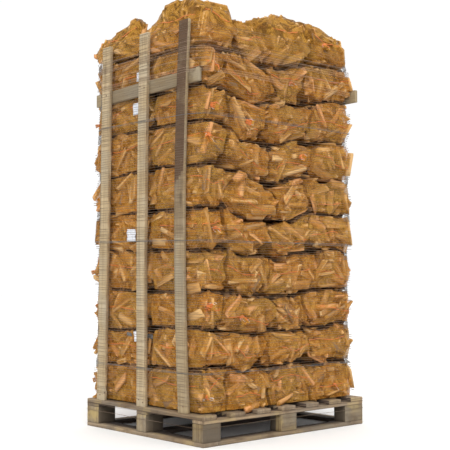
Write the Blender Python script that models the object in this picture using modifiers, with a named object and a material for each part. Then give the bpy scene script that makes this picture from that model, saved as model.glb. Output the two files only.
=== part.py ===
# Pallet of kindling: a wooden block pallet that carries ten layers of net bags
# filled with split sticks, held at both ends by three upright boards and a rail.
# Metres, +Z up. Origin: on the floor under the middle of the pallet.
# Left is -X, the end that shows its stakes. Front is -Y, the long side.

import random

import bmesh
import bpy
from mathutils import Vector

# Driving dimensions
PALLET_X = 1.200
PALLET_Y = 1.000
FIT_GAP = 0.0003
MERGE = 1e-6
BASE_THICK = 0.022
BLOCK_TALL = 0.090
STRINGER_THICK = 0.018
DECK_THICK = 0.022
DECK_COUNT = 7
DECK_WIDE = 0.100
BASE_END_WIDE = 0.100
BASE_RUN_WIDE = 0.085
BASE_RUN_GAP = 0.0005
ARRIS = 0.002

# The lead board has one worn corner: where it starts along the board's width,
# and which way the cut faces
WORN_FROM = 0.80
WORN_FACING = (0.55, -0.83)

# Block sizes: left, middle, right along X, and front, middle, back along Y
BLOCK_X = {"left": 0.115, "middle": 0.115, "right": 0.150}
BLOCK_Y = {"front": 0.085, "middle": 0.085, "back": 0.110}

STAKE_THICK = 0.022
STAKE_WIDE = 0.071
RAIL_THICK = 0.022
RAIL_TALL = 0.070
RAIL_LONG = 0.895
STAKE_STATIONS = 9

# Load: where the bags start and end, and the line between the two rows
LOAD_LEFT = 0.036
LOAD_RIGHT = 0.034
LOAD_FRONT = 0.040
LOAD_BACK = 0.006
ROW_LINE = -0.0075
ROW_GAP = 0.006
SEAM_GAP = 0.002
RAIL_ROOM = 0.003

# Height of each seam between layers at the front left, front right and back left
SEAMS = (
    (0.375, 0.355, 0.355),
    (0.570, 0.555, 0.550),
    (0.760, 0.755, 0.765),
    (0.985, 0.975, 0.975),
    (1.185, 1.180, 1.185),
    (1.410, 1.380, 1.375),
    (1.620, 1.585, 1.635),
    (1.805, 1.825, 1.850),
    (2.000, 2.030, 2.055),
)
LAYERS = len(SEAMS) + 1
BAGS_IN_ROW = 4
BAG_STATIONS = (0.0, 0.2, 0.5, 0.8)
ACROSS_STATIONS = (-0.4, 0.4)
RAIL_LAYERS = (7, 8)

# Share of the row's length at which one bag ends and the next begins, and the
# place of the line between the rows in the top layer
FRONT_ENDS = (0.150, 0.430, 0.705)
TOP_ENDS = (0.225, 0.450, 0.715)
BACK_ENDS = (0.250, 0.495, 0.750)
END_SHIFT = 0.020
TOP_LINE = 0.085
LINE_SHIFT = 0.012

# Highest point of each bag of the top layer, from left to right
FRONT_CROWNS = (2.300, 2.240, 2.288, 2.285)
BACK_CROWNS = (2.252, 2.245, 2.262, 2.240)

# Roundness of a bag: how far its edges, notches and ends draw in and drop
EDGE_IN = 0.030
EDGE_DROP = 0.012
NOTCH_IN = 0.026
NOTCH_DROP = 0.024
NOTCH_DIP = 0.012
CROWN_DROP = 0.075
CROWN_NOTCH = 0.035
END_CORNER_IN = 0.017
END_EDGE_IN = 0.020
CORNER_IN = 0.004
BELLY = 0.48

# How far the sticks inside push the net about
BULGE = 0.020
SAG = 0.008
LEAN = 0.012
SEED = 41

DECK_TOP = BASE_THICK + BLOCK_TALL + STRINGER_THICK + DECK_THICK

# Each stake: middle of its width across the pallet at the foot, halfway and top,
# and the height of its top
LEFT_STAKES = {
    "stake_left_front": (-0.338, -0.303, -0.341, 2.148),
    "stake_left_middle": (0.008, 0.014, -0.005, 2.140),
    "stake_left_back": (0.374, 0.353, 0.337, 2.123),
}
RIGHT_STAKES = {
    "stake_right_front": (-0.320, -0.322, -0.320, 2.130),
    "stake_right_middle": (0.004, -0.003, 0.000, 2.145),
    "stake_right_back": (0.352, 0.345, 0.340, 2.135),
}

# Middle height of each rail at its front end and back end, and its middle along Y
LEFT_RAIL = (1.859, 1.834, 0.015)
RIGHT_RAIL = (1.876, 1.862, -0.050)

MATERIALS = {
    "weathered_board": ((0.36, 0.31, 0.24), 0.85),
    "pallet_block": ((0.30, 0.24, 0.17), 0.88),
    "pale_board": ((0.50, 0.44, 0.33), 0.80),
    "netted_kindling": ((0.42, 0.22, 0.06), 0.75),
}


def clear_scene():
    for old in list(bpy.data.objects):
        bpy.data.objects.remove(old, do_unlink=True)


def new_collection(name):
    group = bpy.data.collections.new(name)
    bpy.context.scene.collection.children.link(group)
    return group


def make_material(name):
    colour, rough = MATERIALS[name]
    material = bpy.data.materials.new(name)
    material.use_nodes = True
    shader = material.node_tree.nodes["Principled BSDF"]
    shader.inputs["Base Color"].default_value = (*colour, 1.0)
    shader.inputs["Roughness"].default_value = rough
    shader.inputs["Metallic"].default_value = 0.0
    return material


def add_object(name, bm, material, group):
    mesh = bpy.data.meshes.new(name)
    bm.to_mesh(mesh)
    bm.free()
    mesh.materials.append(material)
    body = bpy.data.objects.new(name, mesh)
    group.objects.link(body)
    return body


def cube_between(low, high):
    low = Vector(low)
    size = Vector(high) - low
    bm = bmesh.new()
    bmesh.ops.create_cube(bm, size=1.0)
    for vert in bm.verts:
        for axis in range(3):
            vert.co[axis] = low[axis] + (vert.co[axis] + 0.5) * size[axis]
    return bm


def slice_across(bm, axis, places):
    normal = Vector((0.0, 0.0, 0.0))
    normal[axis] = 1.0
    for place in places:
        bmesh.ops.bisect_plane(
            bm, geom=bm.verts[:] + bm.edges[:] + bm.faces[:],
            dist=MERGE, plane_co=normal * place, plane_no=normal)


def soften_edges(body):
    bevel = body.modifiers.new("worn_edges", "BEVEL")
    bevel.width = ARRIS
    bevel.segments = 1
    bevel.limit_method = "ANGLE"


def add_board(name, low, high, material, group, clipped=None):
    """A sawn board between two corners, with one corner of its plan cut if asked."""
    bm = cube_between(low, high)
    if clipped:
        everything = bm.verts[:] + bm.edges[:] + bm.faces[:]
        cut = bmesh.ops.bisect_plane(
            bm, geom=everything, dist=MERGE, plane_co=Vector(clipped),
            plane_no=Vector((*WORN_FACING, 0.0)).normalized(), clear_outer=True)
        rim = [part for part in cut["geom_cut"] if isinstance(part, bmesh.types.BMEdge)]
        bmesh.ops.edgeloop_fill(bm, edges=rim)
    soften_edges(add_object(name, bm, material, group))


def block_places(sizes, full):
    """Low and high ends of the three blocks along one side of the pallet."""
    first, middle, last = sizes
    half = full / 2
    return (
        (-half, -half + first),
        (-middle / 2, middle / 2),
        (half - last, half),
    )


def add_pallet(group, board, block):
    half_x = PALLET_X / 2
    half_y = PALLET_Y / 2
    along_x = dict(zip(BLOCK_X, block_places(BLOCK_X.values(), PALLET_X)))
    along_y = dict(zip(BLOCK_Y, block_places(BLOCK_Y.values(), PALLET_Y)))

    base_top = BASE_THICK - FIT_GAP
    for side, start in (("left", -half_x), ("right", half_x - BASE_END_WIDE)):
        low = (start, -half_y, 0.0)
        high = (start + BASE_END_WIDE, half_y, base_top)
        add_board("base_" + side, low, high, board, group)

    run_end = half_x - BASE_END_WIDE - BASE_RUN_GAP
    centres = {"front": -half_y + BASE_RUN_WIDE / 2, "middle": 0.0,
               "back": half_y - BASE_RUN_WIDE / 2}
    for row, centre in centres.items():
        low = (-run_end, centre - BASE_RUN_WIDE / 2, 0.0)
        high = (run_end, centre + BASE_RUN_WIDE / 2, base_top)
        add_board("base_" + row, low, high, board, group)

    block_low = BASE_THICK
    block_high = BASE_THICK + BLOCK_TALL - FIT_GAP
    for side, (x_low, x_high) in along_x.items():
        for row, (y_low, y_high) in along_y.items():
            name = "block_" + side + "_" + row
            add_board(name, (x_low, y_low, block_low), (x_high, y_high, block_high),
                      block, group)

    stringer_low = BASE_THICK + BLOCK_TALL
    stringer_high = stringer_low + STRINGER_THICK - FIT_GAP
    for row, (y_low, y_high) in along_y.items():
        add_board("stringer_" + row, (-half_x, y_low, stringer_low),
                  (half_x, y_high, stringer_high), board, group)

    deck_low = stringer_low + STRINGER_THICK
    step = (PALLET_X - DECK_WIDE) / (DECK_COUNT - 1)
    clip = (-half_x + DECK_WIDE * WORN_FROM, -half_y, 0.0)
    for index in range(DECK_COUNT):
        start = -half_x + index * step
        add_board("deck_board_" + str(index + 1), (start, -half_y, deck_low),
                  (start + DECK_WIDE, half_y, DECK_TOP), board, group,
                  clipped=clip if index == 0 else None)


def bend_through(share, foot, middle, top):
    """A smooth curve through three places, for a share from 0 to 1."""
    sweep = foot + (top - foot) * share
    bow = middle - (foot + top) / 2
    return sweep + bow * 4.0 * share * (1.0 - share)


def add_stake(name, x_low, places, material, group):
    foot, middle, top, height = places
    low = DECK_TOP + FIT_GAP
    bm = cube_between((x_low, -STAKE_WIDE / 2, low),
                      (x_low + STAKE_THICK, STAKE_WIDE / 2, height))
    cuts = [low + (height - low) * k / (STAKE_STATIONS - 1)
            for k in range(1, STAKE_STATIONS - 1)]
    slice_across(bm, 2, cuts)
    for vert in bm.verts:
        share = (vert.co.z - low) / (height - low)
        vert.co.y += bend_through(share, foot, middle, top)
    soften_edges(add_object(name, bm, material, group))


def add_rail(name, x_low, heights, material, group):
    front, back, centre = heights
    half = RAIL_LONG / 2
    bm = cube_between((x_low, centre - half, -RAIL_TALL / 2),
                      (x_low + RAIL_THICK, centre + half, RAIL_TALL / 2))
    for vert in bm.verts:
        share = (vert.co.y - centre + half) / RAIL_LONG
        vert.co.z += front + (back - front) * share
    soften_edges(add_object(name, bm, material, group))


def seam_height(index, x, y):
    """Height of a seam between layers over a place on the pallet."""
    if index == 0:
        return DECK_TOP + FIT_GAP
    front_left, front_right, back_left = SEAMS[index - 1]
    back_right = (front_right + back_left) / 2
    share_x = x / PALLET_X + 0.5
    share_y = y / PALLET_Y + 0.5
    front = front_left + (front_right - front_left) * share_x
    back = back_left + (back_right - back_left) * share_x
    return front + (back - front) * share_y


def bag_ends(ends, start, stop, draw):
    """Places along X where the bags of a row begin and end."""
    long = stop - start
    inner = [start + long * (end + draw.uniform(-END_SHIFT, END_SHIFT)) for end in ends]
    return [start, *inner, stop]


def crown_at(crowns, across):
    """Top of the load over a bag, lower where two bags of the top layer meet."""
    index = min(int(across), BAGS_IN_ROW - 1)
    inside = across - index
    if inside == 0.0 and index > 0:
        return min(crowns[index - 1], crowns[index]) - CROWN_NOTCH
    if across in (0.0, float(BAGS_IN_ROW)):
        return crowns[index] - CROWN_DROP
    return crowns[index]


def add_bag_row(name, layer, low_y, high_y, ends, crowns, seed, material, group):
    """Four bags pressed side by side: one soft row with a notch at each meeting."""
    draw = random.Random(seed)
    start = -PALLET_X / 2 + LOAD_LEFT
    stop = PALLET_X / 2 - LOAD_RIGHT
    if layer in RAIL_LAYERS:
        stop = PALLET_X / 2 - STAKE_THICK - RAIL_THICK - RAIL_ROOM
        start = -stop
    edges = bag_ends(ends, start, stop, draw)

    bm = cube_between((0.0, -1.0, -1.0), (float(BAGS_IN_ROW), 1.0, 1.0))
    stations = [index + part for index in range(BAGS_IN_ROW) for part in BAG_STATIONS]
    slice_across(bm, 0, stations[1:])
    slice_across(bm, 1, ACROSS_STATIONS)
    slice_across(bm, 2, (0.0,))

    middle_y = (low_y + high_y) / 2
    half_y = (high_y - low_y) / 2
    for vert in bm.verts:
        across, side, level = (round(value, 3) for value in vert.co)
        index = min(int(across), BAGS_IN_ROW - 1)
        inside = across - index
        row_end = across in (0.0, float(BAGS_IN_ROW))
        notch = inside in (0.0, 1.0) and not row_end
        at_side = abs(side) == 1.0
        at_level = abs(level) == 1.0

        x = edges[index] + (edges[index + 1] - edges[index]) * inside
        if row_end:
            inset = END_CORNER_IN * at_side + END_EDGE_IN * at_level
            x += inset if across == 0.0 else -inset
        elif not notch:
            x += draw.uniform(-LEAN, LEAN)

        reach = half_y
        if not row_end:
            reach -= draw.uniform(0.0, BULGE)
        if at_side:
            reach -= EDGE_IN * at_level + NOTCH_IN * notch
            reach -= (NOTCH_IN if at_level else CORNER_IN) * row_end
        y = middle_y + side * reach

        drop = 0.0
        if at_side or notch or row_end:
            drop = draw.uniform(0.0, SAG) + EDGE_DROP * (at_side + row_end)
            drop += (NOTCH_DROP if at_side else NOTCH_DIP) * notch
        low = seam_height(layer, x, y) + SEAM_GAP / 2
        if layer + 1 < LAYERS:
            high = seam_height(layer + 1, x, y) - SEAM_GAP / 2 - drop
        else:
            high = crown_at(crowns, across) - CROWN_DROP * at_side - draw.uniform(0.0, SAG)
        z = {-1.0: low + drop, 0.0: low + BELLY * (high - low), 1.0: high}[level]
        vert.co = (x, y, z)
    return add_object(name, bm, material, group)


def add_load(group, net):
    front = -PALLET_Y / 2 + LOAD_FRONT
    back = PALLET_Y / 2 - LOAD_BACK
    for layer in range(LAYERS):
        number = str(layer + 1).zfill(2)
        top_layer = layer + 1 == LAYERS
        line = TOP_LINE if top_layer else ROW_LINE + LINE_SHIFT * (-1) ** layer
        front_ends = TOP_ENDS if top_layer else FRONT_ENDS
        add_bag_row("bags_front_" + number, layer, front, line - ROW_GAP / 2,
                    front_ends, FRONT_CROWNS, SEED + layer, net, group)
        add_bag_row("bags_back_" + number, layer, line + ROW_GAP / 2, back,
                    BACK_ENDS, BACK_CROWNS, SEED + LAYERS + layer, net, group)


def build():
    clear_scene()
    group = new_collection("pallet_of_kindling")
    finish = {name: make_material(name) for name in MATERIALS}
    add_pallet(group, finish["weathered_board"], finish["pallet_block"])
    for name, places in LEFT_STAKES.items():
        add_stake(name, -PALLET_X / 2, places, finish["pale_board"], group)
    for name, places in RIGHT_STAKES.items():
        add_stake(name, PALLET_X / 2 - STAKE_THICK, places, finish["pale_board"], group)
    inner_left = -PALLET_X / 2 + STAKE_THICK + FIT_GAP
    inner_right = PALLET_X / 2 - STAKE_THICK - FIT_GAP - RAIL_THICK
    add_rail("rail_left", inner_left, LEFT_RAIL, finish["pale_board"], group)
    add_rail("rail_right", inner_right, RIGHT_RAIL, finish["pale_board"], group)
    add_load(group, finish["netted_kindling"])


build()
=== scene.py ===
# Looks of a pallet of kindling: split sticks in golden net bags, weathered boards,
# pale stakes, orange drawstrings and a clear net wrapped round the whole load.
# Metres, +Z up. Left is -X, front is -Y.
import math
import random
from itertools import product

import bpy
import numpy as np
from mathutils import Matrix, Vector, noise
from mathutils.bvhtree import BVHTree


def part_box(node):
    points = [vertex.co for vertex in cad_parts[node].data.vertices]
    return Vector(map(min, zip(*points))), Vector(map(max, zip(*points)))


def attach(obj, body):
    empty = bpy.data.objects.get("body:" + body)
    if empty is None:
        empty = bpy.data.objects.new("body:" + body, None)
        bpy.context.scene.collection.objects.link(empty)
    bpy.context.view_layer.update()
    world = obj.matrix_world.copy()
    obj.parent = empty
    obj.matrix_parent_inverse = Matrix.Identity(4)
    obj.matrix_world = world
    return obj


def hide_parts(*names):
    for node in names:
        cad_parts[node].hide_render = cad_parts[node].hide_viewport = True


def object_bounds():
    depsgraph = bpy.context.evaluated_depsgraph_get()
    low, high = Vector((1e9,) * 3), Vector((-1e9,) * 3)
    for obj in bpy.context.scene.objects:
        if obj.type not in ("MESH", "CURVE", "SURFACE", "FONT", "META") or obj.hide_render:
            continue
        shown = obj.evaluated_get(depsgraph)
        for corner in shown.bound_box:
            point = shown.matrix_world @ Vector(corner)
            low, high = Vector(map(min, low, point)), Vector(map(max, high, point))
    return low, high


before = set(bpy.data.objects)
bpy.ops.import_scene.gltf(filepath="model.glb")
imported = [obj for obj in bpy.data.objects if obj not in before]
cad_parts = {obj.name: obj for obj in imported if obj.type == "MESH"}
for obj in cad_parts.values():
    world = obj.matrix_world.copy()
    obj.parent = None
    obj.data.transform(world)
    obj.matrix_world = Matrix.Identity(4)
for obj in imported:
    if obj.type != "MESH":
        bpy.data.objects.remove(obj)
CAD_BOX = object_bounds()

SEED = 7

# Camera: where the photograph was taken from, how far it turns and tilts, its lens
CAMERA_PLACE = (-3.738, -4.125, 0.837)
CAMERA_TURN = -42.14
CAMERA_TILT = 3.02
CAMERA_LENS = 77.9
SENSOR = 36.0

# Studio: a pale floor, an even sky and one soft sun, with its angles in degrees
FLOOR_SIZE = 60.0
FLOOR_COLOUR = (0.93, 0.93, 0.93, 1.0)
SKY_COLOUR = (1.0, 1.0, 1.0, 1.0)
SKY_STRENGTH = 1.02
SUN_STRENGTH = 1.70
SUN_SPREAD = 35.0
SUN_COLOUR = (1.0, 0.97, 0.92)
SUN_TURN = (49.0, -38.0)

# Load
LAYERS = 10
ROWS = ("front", "back")
BAGS_IN_ROW = 4
RING_POINTS = 10
PINCH_INSET = 0.05

# Sticks, with their length as least, most and usual
STICK_KINDS = 9
STICK_LONG = (0.085, 0.175, 0.140)
STICK_WIDE = (0.024, 0.052)
STICK_THICK = (0.011, 0.024)
STICK_ROLL = 0.55
STICK_TILT = 0.20
STICK_DEPTH = (-0.009, 0.006)
STICK_STEP = 0.007
STICK_SLIDES = 9
STICK_TRIES = 4
STICK_ROOM = 0.43
STICK_HOLD = 0.4
STICKS_A_METRE = 430
INNER_SHARE = 0.45
INNER_DEPTH = 0.026
END_PAST = 1.035
TOP_DEEPER = 0.009
UPRIGHT_SHARE = 0.28
UPRIGHT_LEAN = 0.16

# The imported mass behind the sticks, painted near black as shade
CORE_CUTS = 7
CORE_SHARE = 0.83
CORE_LUMP = 0.08
CORE_TURNS = 3.0
CORE_DRIFT = 7.0
CORE_ROOM = 0.9
CORE_SHADE_TONE = 1.2
END_CORE = 0.040
TOP_CORE = 0.07
TOP_LIFT = 0.12
CORE_RISE = 1.22

# Slump of the layers: size, turns a metre along, up and back, and start
SLUMP_WAVES = ((0.0075, 11.0, 5.0, 3.1, 0.4), (0.0065, 23.0, -9.0, 2.3, 1.9),
               (0.0045, 35.0, 17.0, -5.0, 4.1))
LEAN = 3.0
LEAN_TURNS = (1.7, 0.9, 2.3)

# Where the layers are free to wave: above the deck, below the top, inside the ends
FREE_ABOVE = (0.02, 0.12)
FREE_BELOW = (2.10, 0.25)
FREE_INSIDE = (0.52, 0.15)

# Where the second bag from the left sank lower than the first: along, up, and how far
SAG_ALONG = (-0.36, -0.23, -0.02, 0.27)
SAG_UP = (0.190, 0.60, 1.85, 2.05, 2.26)
SAG_DEPTH = (0.0, 0.032, 0.072, 0.056, 0.0)

# Corners of bags that are pulled out: where, how far, over what size
PULLS = (((-0.50, 0.47, 2.130), (-0.012, 0.041, 0.006), 0.085),
         ((-0.50, 0.18, 2.215), (0.0, -0.015, 0.045), 0.060),
         ((-0.53, 0.135, 2.235), (0.0, -0.050, 0.025), 0.045),
         ((-0.50, 0.065, 2.185), (0.0, 0.0, -0.050), 0.045),
         ((-0.41, 0.160, 2.220), (0.0, 0.0, -0.060), 0.055),
         ((0.24, -0.25, 2.290), (0.0, 0.0, 0.050), 0.160),
         ((0.46, -0.25, 2.270), (0.0, 0.0, 0.026), 0.100))

# Net skins
NET_CUTS = 24
NET_ROUNDS = 7
NET_PULL = 0.006
NET_HOLD = 0.958
NET_SAG = 0.045
TOP_SAG = 0.012
NET_FILL = 0.84
END_FILL = 0.74
SEAM_FILL = 0.90
UNDER_FILL = 0.30
BULGE = 0.16
FLOOR_FILL = 0.95
POCKET_TURNS = 7.5
POCKET_FILL = 0.70
POCKET_DEPTH = 3.2
NET_CREASE = 14.0
NET_LUMP = 8.0
NET_CLEAR = 0.0016
NET_REACH = 1.06
NET_CREEP = 0.95
NET_BASE = 0.99
NET_FIRST = 0.985
NET_START = 1.25
NET_LOOK = 1.2
NET_DRIFT = 9.0

# How full a bag is: its crown, its side against the next bag, its open end and its seam
CROWN_START = 0.1
SIDE_RISE = (0.7, 1.5)
END_RISE = (2.5, 1.4)
SEAM_BAND = (0.85, 0.40)
SIDE_STOP = 0.995

# How many sticks each side of a bag gets, for its size
END_WEIGHT = 1.3
TOP_WEIGHT = 1.6
TOP_BACK_WEIGHT = 0.7
HEM_SHARE = 0.30
END_TOP_WEIGHT = 0.4

# The net's stitches: a chain's width and a row's height
CHAIN_WIDE = 0.0052
ROW_TALL = 0.0044

# How light each stake is, and how finely the boards are cut, along and across
STAKE_TONES = {"stake_left_front": 0.34, "stake_left_middle": 0.85, "stake_left_back": 0.78}
BLOCK_CUTS = (0.022, 0.022)
BOARD_CUTS = (0.035, 0.025)
STAKE_CUTS = (0.045, 0.018)
BARK_CUTS = (0.020, 0.018)
BOARD_WEAR = 0.0011
STAKE_WEAR = 0.0008
BOARD_MERGE = 0.00005
BOARD_FLAT = 0.6
DENTS = (("dents", 0.045, 1.0), ("torn_grain", 0.012, 0.6))

# The near stake's bark: how high it is dark and brown, and the dark edge's slant
BARK_DARK = 1.385
BARK_BROWN = 1.035
BARK_SLANT = 0.9

# Woods: pale and deep grain, grey and how much of it, stain (also the colour of painted shade
# inside the pallet and on its sides), and gold if any
WOODS = {
    "weathered_board": ((0.50, 0.37, 0.225), (0.19, 0.125, 0.068), (0.29, 0.25, 0.20), 0.60,
                        (0.075, 0.055, 0.045), (0.52, 0.39, 0.19)),
    "pallet_block": ((0.46, 0.340, 0.170), (0.17, 0.11, 0.055), (0.31, 0.28, 0.235), 0.65,
                     (0.10, 0.078, 0.056), (0.54, 0.41, 0.17)),
    "pale_stake": ((0.49, 0.385, 0.235), (0.33, 0.24, 0.135), (0.41, 0.37, 0.29), 0.50,
                   (0.105, 0.062, 0.036), None)}

# Nails
NAIL_RADIUS = 0.0042
NAIL_HEAD = 0.0024
NAIL_STRAY = 0.06
STAKE_FOOT = 0.035

# Drawstrings and gathered mouths: a mouth's steps as rise and growth, its ties as rise and
# size, its loose ends as count, length and radius
CORD_POINTS = 36
CORD_RADIUS = 0.0024
CORD_STRAY = 0.012
CORD_LIFT = (0.0008, 0.0032)
END_CORD_SHARE = 0.75
NECK_SHARE = 0.20
CORNER_NECKS = (0, 2, 6, 7)
CORNER_TIPS = (0, 1, 2, 3, 5, 7)
TIP_SCALE = 0.6
NECK_SUNK = 0.004
NECK_RADIUS = 0.007
NECK_TALL = 0.040
NECK_STEPS = ((0.008, 1.30), (0.010, 1.35), (0.012, 1.20), (0.008, 1.05))
TIES = ((0.004, 0.0095), (0.008, 0.0105), (0.011, 0.0100))
TIE_RADIUS = 0.0034
LOOSE_ENDS = {"cord": (6, 0.034, 0.0028), "fibre": (5, 0.048, 0.0006)}

# Blank labels, as (y, z, width, height) on the left end, and scraps of film there
TAGS = ((0.092, 1.925, 0.045, 0.050), (0.108, 1.748, 0.055, 0.064),
        (0.132, 1.060, 0.078, 0.066), (0.098, 0.515, 0.045, 0.058))
SCRAPS = ((0.375, 1.812, 0.055, 0.036), (0.150, 0.525, 0.040, 0.018),
          (-0.022, 0.520, 0.050, 0.024))
SHEET_THICK = 0.0006
SHEET_CLEAR = 0.002
CREASE_TURNS = 55.0
CREASE_DEPTH = 0.005

# Wrap: its level threads, the flare down to the pallet's edge, the denser veil, and the
# gathered bands as height and tilt
WRAP_PITCH = 0.013
WRAP_LOW = 0.078
WRAP_HIGH = 2.135
WRAP_STEP = 0.034
WRAP_JOIN = 0.004
WRAP_RADIUS = 0.0010
WRAP_REACH = 0.036
WRAP_CLEAR = 0.0015
PALLET_ROUND = 1.002
FLARE_TALL = 0.040
FLARE_SPREAD = (0.925, 0.077)
LOAD_THREADS = 0.93
PALLET_THREADS = 0.45
VEIL = (1.86, 2.03)
VEIL_THREADS = 0.7
VEIL_TONE = 1.2
BANDS = ((1.660, 0.004), (1.021, 0.008), (0.352, 0.004))
BAND_CLEAR = 0.002
BAND_PITCH = 0.004

# Threads over the notches between layers at the corners: where, and how many
NOTCH_CORNERS = ((-1.0, 1.0), (1.0, -1.0), (1.0, 1.0))
NOTCH_AT = (0.56, 0.46)
NOTCH_FROM = (0.47, 0.56)
NOTCH_TALL = 0.044
NOTCH_DROP = 0.010
NOTCH_THREADS = 14
NOTCH_STEP = 0.018
NOTCH_TONE = 1.3

DECK_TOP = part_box("deck_board_1")[1][2]


class Value:
    """A socket's value in a material. Arithmetic on it adds Math nodes."""

    def __init__(self, finish, socket):
        self.finish = finish
        self.socket = socket

    def math(self, kind, *others):
        return self.finish.add("ShaderNodeMath", {"operation": kind}, [self, *others])

    def __add__(self, other):
        return self.math("ADD", other)

    def __mul__(self, other):
        return self.math("MULTIPLY", other)

    def __sub__(self, other):
        return self.math("SUBTRACT", other)

    def __rsub__(self, other):
        return self.finish.add("ShaderNodeMath", {"operation": "SUBTRACT"}, [other, self])

    __radd__ = __add__
    __rmul__ = __mul__


class Finish:
    """One material: its shader, and the nodes that colour it."""

    def __init__(self, name, rough, **constants):
        self.material = bpy.data.materials.new(name)
        self.material.use_nodes = True
        self.nodes = self.material.node_tree.nodes
        self.links = self.material.node_tree.links
        self.shader = self.nodes["Principled BSDF"]
        self.shader.inputs["Roughness"].default_value = rough
        for key, value in constants.items():
            self.shader.inputs[key.replace("_", " ")].default_value = value

    def add(self, kind, settings=None, inputs=(), out=0):
        node = self.nodes.new(kind)
        for key, value in (settings or {}).items():
            setattr(node, key, value)
        pairs = inputs.items() if isinstance(inputs, dict) else enumerate(inputs)
        for key, value in pairs:
            if isinstance(value, Value):
                self.links.new(value.socket, node.inputs[key])
            else:
                node.inputs[key].default_value = value
        return Value(self, node.outputs[out])

    def feed(self, name, value):
        self.links.new(value.socket, self.shader.inputs[name])

    def attribute(self, name):
        return self.add("ShaderNodeAttribute", {"attribute_name": name}, out="Fac")

    def place(self):
        return self.add("ShaderNodeTexCoord", out="Object")

    def surface(self):
        """The piece's own flat map, as two numbers: along it and across or around it."""
        return self.parts(self.add("ShaderNodeUVMap", {"uv_map": "cloth"}))[:2]

    def parts(self, vector):
        """The three numbers of a vector."""
        first = self.add("ShaderNodeSeparateXYZ", inputs=[vector])
        outputs = first.socket.node.outputs
        return first, Value(self, outputs[1]), Value(self, outputs[2])

    def vector(self, *values):
        return self.add("ShaderNodeCombineXYZ", inputs=list(values))

    def noise(self, vector, scale, detail=4.0, rough=0.55, bend=0.0):
        return self.add("ShaderNodeTexNoise", inputs={
            "Vector": vector, "Scale": scale, "Detail": detail, "Roughness": rough,
            "Distortion": bend})

    def cloud(self, *shape):
        """Noise that follows the place of each point on the object."""
        return self.noise(self.place(), *shape)

    def drawn_out(self, long, wide, drift):
        """The flat map stretched along the grain, and moved on for each piece."""
        along, around = self.surface()
        return self.vector(along * long + drift, around * wide, drift)

    def spread(self, value, low, high):
        """A value run from 0 at low to 1 at high, smoothly. High may be the lower."""
        return self.add("ShaderNodeMapRange", {"interpolation_type": "SMOOTHSTEP"},
                        {"Value": value, "From Min": low, "From Max": high})

    def blend(self, share, first, second, kind="MIX"):
        first = (*first, 1.0) if isinstance(first, tuple) else first
        second = (*second, 1.0) if isinstance(second, tuple) else second
        return self.add("ShaderNodeMix", {"data_type": "RGBA", "blend_type": kind},
                        {0: share, 6: first, 7: second}, out=2)

    def coats(self, colour, *coats):
        """Lays coats over a colour, each as value, start, full, share and paint."""
        for value, low, high, share, paint in coats:
            colour = self.blend(self.spread(value, low, high) * share, colour, paint)
        return colour

    def made(self, colour, height=None, depth=0.0, strength=0.0):
        """The material, with its colour and its bump fed to the shader."""
        self.feed("Base Color", colour)
        if height is not None:
            self.feed("Normal", self.add("ShaderNodeBump", inputs={
                "Height": height, "Distance": depth, "Strength": strength}, out="Normal"))
        return self.material


def darker(paint, share):
    return tuple(part * share for part in paint)


def grained_wood(name):
    """Sawn softwood: long grain, knots, greyed patches, dirt and painted shade in blotches, and
    a soft bump.
    """
    pale, deep, grey, greyness, stain_and_shade, gold = WOODS[name]
    finish = Finish(name, 0.86, Specular_IOR_Level=0.25)
    tone = finish.attribute("tone")
    drift = tone * 17.0
    fine = finish.noise(finish.drawn_out(4.0, 190.0, drift), 1.0, 5.0)
    broad = finish.noise(finish.drawn_out(2.2, 42.0, drift), 1.0, 3.0, bend=0.6)
    patch = finish.cloud(5.0, 5.0)
    speck = finish.cloud(55.0, 3.0)
    knot = finish.add("ShaderNodeTexVoronoi", {"feature": "F1"},
                      {"Vector": finish.drawn_out(2.6, 9.0, drift), "Scale": 1.0})
    colour = finish.coats(
        finish.blend(finish.spread(fine * 0.55 + broad * 0.45, 0.34, 0.66), deep, pale),
        (patch, 0.40, 0.66, greyness, grey),
        (knot, 0.16, 0.03, 0.75, darker(deep, 0.35)),
        (speck, 0.62, 0.74, 0.45, darker(deep, 0.45)))
    if gold:
        age = finish.cloud(8.5, 3.0)
        colour = finish.coats(colour, (age, 0.52, 0.66, 0.65, gold),
                              (age, 0.46, 0.34, 0.45, darker(deep, 0.7)))
    shade = finish.spread(tone, -0.15, 1.1) * 0.5 + 0.62
    colour = finish.blend(1.0, colour, finish.vector(shade, shade, shade), "MULTIPLY")
    smudge = finish.cloud(24.0, 5.0, 0.7)
    # Blotches of the stain colour, as much as each face asks for: dirt, and painted shade on the
    # pallet's inner faces and sides.
    blotches = finish.spread(patch + fine * 0.30 + smudge * 0.5, 0.50, 0.86)
    return finish.made(finish.blend(finish.attribute("stain_and_shade") * blotches, colour, stain_and_shade),
                       fine * 0.6 + broad * 0.4 + speck * 0.25, 0.0014, 0.8)


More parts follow.
